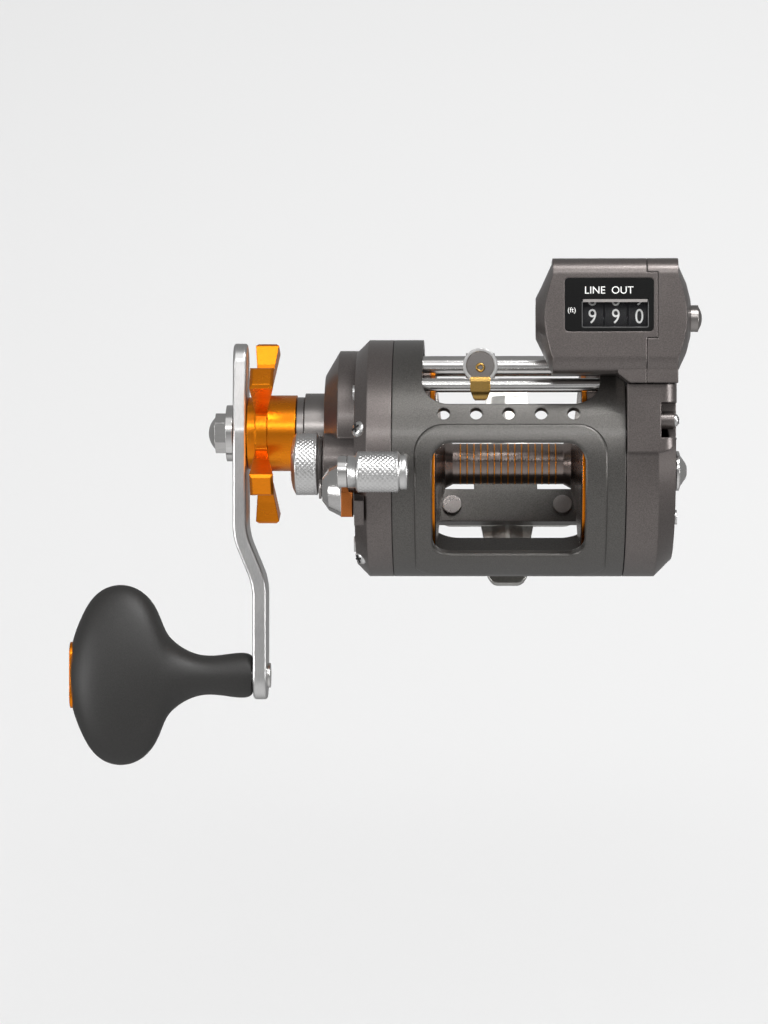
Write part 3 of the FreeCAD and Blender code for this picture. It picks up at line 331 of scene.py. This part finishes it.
def dress_frame():
    """Every CAD node takes the finish of its slot, or its own from NODE_LOOKS."""
    slots = {row["node"]: row["material_slot"] for row in frame["record"]["subparts"]}
    for name, thing in frame["nodes"].items():
        thing.data.materials.clear()
        thing.data.materials.append(NODE_LOOKS.get(name) or MATERIALS[slots[name]])


# ---------------------------------------------------------------- mesh helpers

def add_piece(name, mesh, body, slot, material=None, smooth=True):
    """Link the mesh as a piece that moves with a CAD body."""
    piece = bpy.data.objects.new(name, mesh)
    bpy.context.collection.objects.link(piece)
    mesh.materials.append(material or MATERIALS[slot])
    if smooth:
        for face in mesh.polygons:
            face.use_smooth = True
    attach(piece, body)
    return piece


def turned_mesh(name, profile, axis, steps=96, relief=None):
    """A closed (x, radius) outline in metres, turned about a line along X through axis."""
    count = len(profile)
    verts = []
    for i in range(steps):
        a = 2 * math.pi * i / steps
        for x, r in profile:
            extra = relief(x, a) if relief else 0.0
            verts.append((x, axis.y + (r + extra) * math.cos(a), axis.z + (r + extra) * math.sin(a)))
    faces = []
    for i in range(steps):
        k = (i + 1) % steps
        for j in range(count - 1):
            faces.append((i * count + j, i * count + j + 1, k * count + j + 1, k * count + j))
    mesh = bpy.data.meshes.new(name)
    mesh.from_pydata(verts, [], faces)
    form = bmesh.new()
    form.from_mesh(mesh)
    bmesh.ops.remove_doubles(form, verts=form.verts, dist=1e-7)
    bmesh.ops.recalc_face_normals(form, faces=form.faces)
    form.to_mesh(mesh)
    form.free()
    return mesh


def knurl(pitch, depth, radius, x0, x1):
    """Diamond relief between x0 and x1 that fades out at both ends."""
    around = max(6, round(2 * math.pi * radius / pitch))

    def height(x, a):
        edge = min(x - x0, x1 - x)
        if edge <= 0:
            return 0.0
        fade = min(1.0, edge / (0.4 * pitch))
        turn = a * around / (2 * math.pi)
        one = abs(((turn + (x - x0) / pitch) % 1.0) - 0.5) * 2
        two = abs(((turn - (x - x0) / pitch) % 1.0) - 0.5) * 2
        return -depth * fade * (1 - min(one, two))
    return height


def run(a, b, count):
    """Evenly spaced values from a to b."""
    return [a + (b - a) * i / count for i in range(count + 1)]


# ---------------------------------------------------------------- pieces

KNURL_PITCH = 1.45 * MM
NECK_R = 4.85 * MM          # of the lever grip's plain neck
HEAD_R = 5.35 * MM          # of its plain head


def lever_grip():
    """The lever's grip: a neck, a knurled barrel and a head with a shallow hole in its end."""
    axis = middle("lever_grip")
    low, high = box("lever_grip")
    r = (high.y - low.y) / 2
    start, end = low.x + 2.7 * MM, high.x - 2.5 * MM
    hole_end = high.x - 1.4 * MM
    profile = [(low.x, 0), (low.x, 4.5 * MM), (low.x + 0.4 * MM, NECK_R), (start - 0.2 * MM, NECK_R)]
    profile += [(start, r - 0.7 * MM), (start + 0.6 * MM, r)]
    profile += [(x, r) for x in run(start + 0.9 * MM, end - 0.9 * MM, 60)]
    profile += [(end - 0.6 * MM, r), (end, r - 0.7 * MM), (end + 0.1 * MM, 5.2 * MM)]
    profile += [(end + 0.5 * MM, HEAD_R), (high.x - 0.5 * MM, HEAD_R), (high.x, 4.8 * MM)]
    profile += [(high.x, 1.3 * MM), (hole_end, 1.2 * MM), (hole_end, 0)]
    relief = knurl(KNURL_PITCH, 0.26 * MM, r, start + 0.7 * MM, end - 0.7 * MM)
    mesh = turned_mesh("lever_grip_knurled", profile, axis, 260, relief)
    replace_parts(add_piece("lever_grip_knurled", mesh, "freespool_lever", "silver"), "lever_grip")


def tension_knob():
    """The cast-control knob: a domed face, a knurled rim and a hollow back."""
    axis = SPOOL
    low, high = box("tension_knob")
    r = (high.y - low.y) / 2
    x0, x1 = low.x + 1.7 * MM, high.x - 1.7 * MM
    profile = [(low.x, 0), (low.x, 3.0 * MM), (low.x + 0.15 * MM, 5.6 * MM), (low.x + 0.6 * MM, 7.6 * MM)]
    profile += [(x0 - 0.3 * MM, r - 0.5 * MM), (x0, r)]
    profile += [(x, r) for x in run(x0 + 0.3 * MM, x1 - 0.3 * MM, 30)]
    profile += [(x1, r), (x1 + 0.3 * MM, r - 0.5 * MM), (high.x - 1.0 * MM, 8.1 * MM), (high.x, 8.1 * MM)]
    profile += [(high.x, 6.1 * MM), (x0 + 1.5 * MM, 6.1 * MM), (x0 + 1.5 * MM, 0)]
    relief = knurl(KNURL_PITCH, 0.28 * MM, r, x0 + 0.1 * MM, x1 - 0.1 * MM)
    mesh = turned_mesh("tension_knob_knurled", profile, axis, 320, relief)
    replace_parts(add_piece("tension_knob_knurled", mesh, "tension", "silver"), "tension_knob")


def squeezed_spring(node):
    """The CAD spring again, as a piece of its own fixed to the root body in place of the hidden CAD node."""
    source = frame["nodes"][node]
    mesh = source.data.copy()
    mesh.transform(source.matrix_world)
    mesh.materials.clear()
    piece = add_piece(node + "_coil", mesh, "root", "bearing_steel")
    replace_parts(piece, node)
    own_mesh(piece)


def rounded_outline(half_x, half_v, radius, per_corner=12):
    """Points of a rounded rectangle about the origin, counter-clockwise."""
    points = []
    for i, (sx, sv) in enumerate(((1, 1), (-1, 1), (-1, -1), (1, -1))):
        for k in range(per_corner + 1):
            a = math.pi / 2 * (i + k / per_corner)
            x = sx * (half_x - radius) + radius * math.cos(a)
            points.append((x, sv * (half_v - radius) + radius * math.sin(a)))
    return points


def fine_outline(half_x, half_v, radius, per_side=24):
    """A rounded rectangle whose straight sides have points too, so that it can be bent."""
    corners = rounded_outline(half_x, half_v, radius)
    step = len(corners) // 4
    points = []
    for side in range(4):
        corner = corners[side * step:(side + 1) * step]
        points += corner
        last, following = corner[-1], corners[((side + 1) * step) % len(corners)]
        for k in range(1, per_side):
            t = k / per_side
            points.append((last[0] + (following[0] - last[0]) * t, last[1] + (following[1] - last[1]) * t))
    return points


WINDOW_MIDDLE = math.radians(133.9)
DRUM_CENTRE = SPOOL + Vector((0, 1.9 * MM, 0))
DRUM_OUTER = 36.6 * MM
# Half width along X, half height round the drum, and corner radius
WINDOW_HOLE = (23.1 * MM, 18.45 * MM, 5.6 * MM)
WINDOW_PAD = (29.0 * MM, 30.0 * MM, 9.0 * MM)
# How far the pad's middle lies from the hole's
PAD_RIGHT = 0.6 * MM
PAD_DOWN = 4.9 * MM
PAD_LIFT = 0.55


def window_border():
    """The smooth pad that stands a little proud round the thumb window."""
    hole = fine_outline(*WINDOW_HOLE)
    hole = [(x, math.asin(v / DRUM_OUTER)) for x, v in hole]
    pad = fine_outline(*WINDOW_PAD)
    pad = [(x + PAD_RIGHT, (v - PAD_DOWN) / DRUM_OUTER) for x, v in pad]
    rows = []
    inner_edge = [(0, -0.4), (0, 0.35), (0.03, 0.5)]
    outer_edge = [(0.93, 0.47), (0.965, 0.28), (1, 0.0), (1, -0.3)]
    for t, lift in inner_edge + [(i / 10, PAD_LIFT) for i in range(1, 10)] + outer_edge:
        row = []
        for (x0, a0), (x1, a1) in zip(hole, pad):
            x, a = x0 + (x1 - x0) * t, WINDOW_MIDDLE - a0 - (a1 - a0) * t
            r = DRUM_OUTER + lift * MM
            row.append((x, DRUM_CENTRE.y + r * math.cos(a), DRUM_CENTRE.z + r * math.sin(a)))
        rows.append(row)
    count = len(hole)
    verts = [p for row in rows for p in row]
    faces = []
    for j in range(len(rows) - 1):
        for i in range(count):
            k = (i + 1) % count
            faces.append((j * count + i, j * count + k, (j + 1) * count + k, (j + 1) * count + i))
    mesh = bpy.data.meshes.new("window_border")
    mesh.from_pydata(verts, [], faces)
    form = bmesh.new()
    form.from_mesh(mesh)
    bmesh.ops.recalc_face_normals(form, faces=form.faces)
    form.to_mesh(mesh)
    form.free()
    add_piece("window_border", mesh, "root", "gunmetal")


def arbor_stripes():
    """Fifteen fine bands round the spool's arbor."""
    count, pitch = 15, 2.1 * MM
    half = 0.24 * MM
    low, high = 6.28 * MM, 6.36 * MM
    form = bmesh.new()
    for i in range(count):
        x = (i - (count - 1) / 2) * pitch
        profile = [(x - half, low), (x - half, high), (x + half, high), (x + half, low), (x - half, low)]
        ring = turned_mesh("ring", profile, SPOOL, 72)
        form.from_mesh(ring)
        bpy.data.meshes.remove(ring)
    mesh = bpy.data.meshes.new("arbor_stripes")
    form.to_mesh(mesh)
    form.free()
    add_piece("arbor_stripes", mesh, "spool_body", "orange", STRIPE)


def letters(text, size, thickness):
    """Centred lettering as a mesh in its own plane."""
    curve = bpy.data.curves.new("letters", "FONT")
    curve.body = text
    curve.size = size
    curve.align_x = "CENTER"
    curve.align_y = "CENTER"
    curve.extrude = thickness
    curve.resolution_u = 6
    holder = bpy.data.objects.new("letters", curve)
    bpy.context.collection.objects.link(holder)
    graph = bpy.context.evaluated_depsgraph_get()
    mesh = bpy.data.meshes.new_from_object(holder.evaluated_get(graph))
    bpy.data.objects.remove(holder)
    bpy.data.curves.remove(curve)
    return mesh


DIGIT_HIGH = 6.2 * MM
DRUM_R = 8.6 * MM


def digit_drum(name, body, shown):
    """Ten digits wrapped round one number wheel, the shown one facing the angler."""
    low, high = box(name)
    centre_x = (low.x + high.x) / 2
    facing = math.atan2(OUT.z, OUT.y)
    form = bmesh.new()
    for value in range(10):
        mesh = letters(str(value), DIGIT_HIGH, 0.02 * MM)
        angle = facing - (shown - value) * 2 * math.pi / 10
        for vert in mesh.vertices:
            x, y, z = vert.co
            r = DRUM_R + 0.02 * MM + z
            a = angle - y / DRUM_R
            vert.co = (centre_x + x * 0.86, WHEELS.y + r * math.cos(a), WHEELS.z + r * math.sin(a))
        form.from_mesh(mesh)
        bpy.data.meshes.remove(mesh)
    whole = bpy.data.meshes.new(name + "_digits")
    form.to_mesh(whole)
    form.free()
    add_piece(name + "_digits", whole, body, "white_plastic", DIGIT_WHITE, smooth=False)


def out_of_wheels(node):
    """How far the node reaches from the digit wheels towards the angler."""
    return max((v.co - WHEELS).dot(OUT) for v in frame["nodes"][node].data.vertices)


def leaned_frame(place):
    """Moves a flat drawing (x, up, out) to the leaned face at place."""
    turn = Matrix((Vector((1, 0, 0)), UP, OUT)).transposed().to_4x4()
    return Matrix.Translation(place) @ turn


def window_marks():
    """A generic caption and unit mark printed on the dial plate."""
    face = out_of_wheels("counter_window") + 0.02 * MM
    marks = (("LINE  OUT", 3.1 * MM, 29.6 * MM, 7.7 * MM), ("(ft)", 2.1 * MM, 18.6 * MM, 1.9 * MM))
    for i, (text, size, x, up) in enumerate(marks):
        mesh = letters(text, size, 0.01 * MM)
        place = Vector((x, WHEELS.y, WHEELS.z)) + UP * up + OUT * face
        mesh.transform(leaned_frame(place))
        add_piece("window_mark_%d" % i, mesh, "root", "black_plastic", DIGIT_WHITE, smooth=False)


def ring_of(outlines, name):
    """Skin between rounded outlines, each a list of (x, up) points and a height."""
    rows = [[(x, up, out) for x, up in points] for points, out in outlines]
    count = len(rows[0])
    verts = [p for row in rows for p in row]
    faces = []
    for j in range(len(rows) - 1):
        for i in range(count):
            k = (i + 1) % count
            faces.append((j * count + i, j * count + k, (j + 1) * count + k, (j + 1) * count + i))
    mesh = bpy.data.meshes.new(name)
    mesh.from_pydata(verts, [], faces)
    return mesh


# Middle of the digits' aperture, along X and up from the wheels' axis
APERTURE_X = 31.45 * MM
APERTURE_UP = 0.75 * MM
# Edge of the aperture from its outer foot to its inner lip, in mm: half width, half height, corner, out
BEZEL_STEPS = ((9.9, 4.15, 0.7, -0.3), (9.9, 4.15, 0.7, 0.03), (9.8, 4.05, 0.6, 0.10),
               (9.7, 3.95, 0.5, 0.03), (9.6, 3.6, 0.3, -1.2))
STRIP_HALF = 9.5 * MM
STRIP_UP = (3.5 * MM, 4.35 * MM)
STRIP_OUT = 0.14 * MM


def digit_bezel():
    """The dark edge of the aperture in front of the digits, with a pale strip along its top as a painted
    highlight.
    """
    face = out_of_wheels("counter_window")
    placed = leaned_frame(Vector((APERTURE_X, WHEELS.y, WHEELS.z)) + UP * APERTURE_UP + OUT * face)
    rows = []
    for half_x, half_up, radius, out in BEZEL_STEPS:
        rows.append((rounded_outline(half_x * MM, half_up * MM, radius * MM, 6), out * MM))
    mesh = ring_of(rows, "digit_bezel")
    mesh.transform(placed)
    add_piece("digit_bezel", mesh, "root", "black_plastic", BEZEL, smooth=False)
    # The pale strip along the aperture's top is a painted highlight.
    low, high = STRIP_UP
    corners = [(-STRIP_HALF, low), (STRIP_HALF, low), (STRIP_HALF, high), (-STRIP_HALF, high)]
    strip = ring_of([(corners, 0.0), (corners, STRIP_OUT)], "digit_painted_highlight")
    form = bmesh.new()
    form.from_mesh(strip)
    form.faces.new(list(form.verts)[4:])
    form.to_mesh(strip)
    form.free()
    strip.transform(placed)
    add_piece("digit_painted_highlight", strip, "root", "black_plastic", BEZEL_PAINTED_HIGHLIGHT, smooth=False)


def screw(name, place, way, radius):
    """A pan-head screw with a dark cross drawn on it as painted shade in its cross recess, its head standing on
    place.
    """
    profile = [(-0.4, 0), (-0.4, 0.92), (0.25, 1.0), (0.5, 0.9), (0.66, 0.6), (0.72, 0.0)]
    head = turned_mesh(name, [(x * radius, r * radius) for x, r in profile], Vector((0, 0, 0)), 32)
    turn = Vector((1, 0, 0)).rotation_difference(way.normalized()).to_matrix().to_4x4()
    head.transform(Matrix.Translation(place) @ turn)
    add_piece(name, head, "root", "silver")
    # The dark cross is painted shade standing in for the recess in the head.
    cross = bpy.data.meshes.new(name + "_cross")
    form = bmesh.new()
    for size in ((0.34, 1.15, 0.22), (0.34, 0.22, 1.15)):
        shape = Matrix.Diagonal((*[v * radius for v in size], 1))
        bmesh.ops.create_cube(form, size=1.0, matrix=Matrix.Translation((0.60 * radius, 0, 0)) @ shape)
    form.transform(Matrix.Translation(place) @ turn)
    form.to_mesh(cross)
    form.free()
    add_piece(name + "_cross", cross, "root", "silver", SLOT_PAINTED_SHADE, smooth=False)


def on_spool_frame(x, up, out):
    """A point in mm from the spool's axis, along X, UP and OUT."""
    return Vector((x * MM, SPOOL.y, SPOOL.z)) + UP * up * MM + OUT * out * MM


EYELET_DOWN = 0.6 * MM


def cap_eyelet():
    """A small gold eyelet just below the middle of the line guide's round cap."""
    cap = middle("pawl_cap")
    top = max((v.co - SPOOL).dot(OUT) for v in frame["nodes"]["pawl_cap"].data.vertices)
    place = cap + OUT * (top - (cap - SPOOL).dot(OUT)) - UP * EYELET_DOWN
    profile = [(-0.2, 0.7), (0.35, 0.7), (0.5, 0.85), (0.5, 1.2), (0.3, 1.45), (-0.2, 1.5), (-0.2, 0.7)]
    mesh = turned_mesh("cap_eyelet", [(x * MM, r * MM) for x, r in profile], Vector((0, 0, 0)), 40)
    turn = Vector((1, 0, 0)).rotation_difference(OUT).to_matrix().to_4x4()
    mesh.transform(Matrix.Translation(place) @ turn)
    add_piece("cap_eyelet", mesh, "line_guide", "gold")


def cover_screw_heads():
    """Two small screws on the handle-side cover and one in the notch of the counter-side cover."""
    screw("cover_screw_a", on_spool_frame(-44.6, 9.8, 31.6), Vector((-0.75, 0.1, 0.65)), 2.6 * MM)
    screw("cover_screw_b", on_spool_frame(-44.6, -28.6, 14.0), Vector((-0.75, -0.55, 0.35)), 2.2 * MM)
    screw("pocket_screw", on_spool_frame(49.4, 12.5, 33.6), Vector((1, 0, 0)), 1.9 * MM)


add_camera()
add_studio()
add_floor()
dress_frame()
lever_grip()
tension_knob()
squeezed_spring("reset_spring")
squeezed_spring("clutch_springs")
arbor_stripes()
window_border()
digit_drum("number_wheel_hundreds", "hundreds", 9)
digit_drum("number_wheel_tens", "tens", 9)
digit_drum("number_wheel_units", "units", 0)
window_marks()
digit_bezel()
cap_eyelet()
cover_screw_heads()
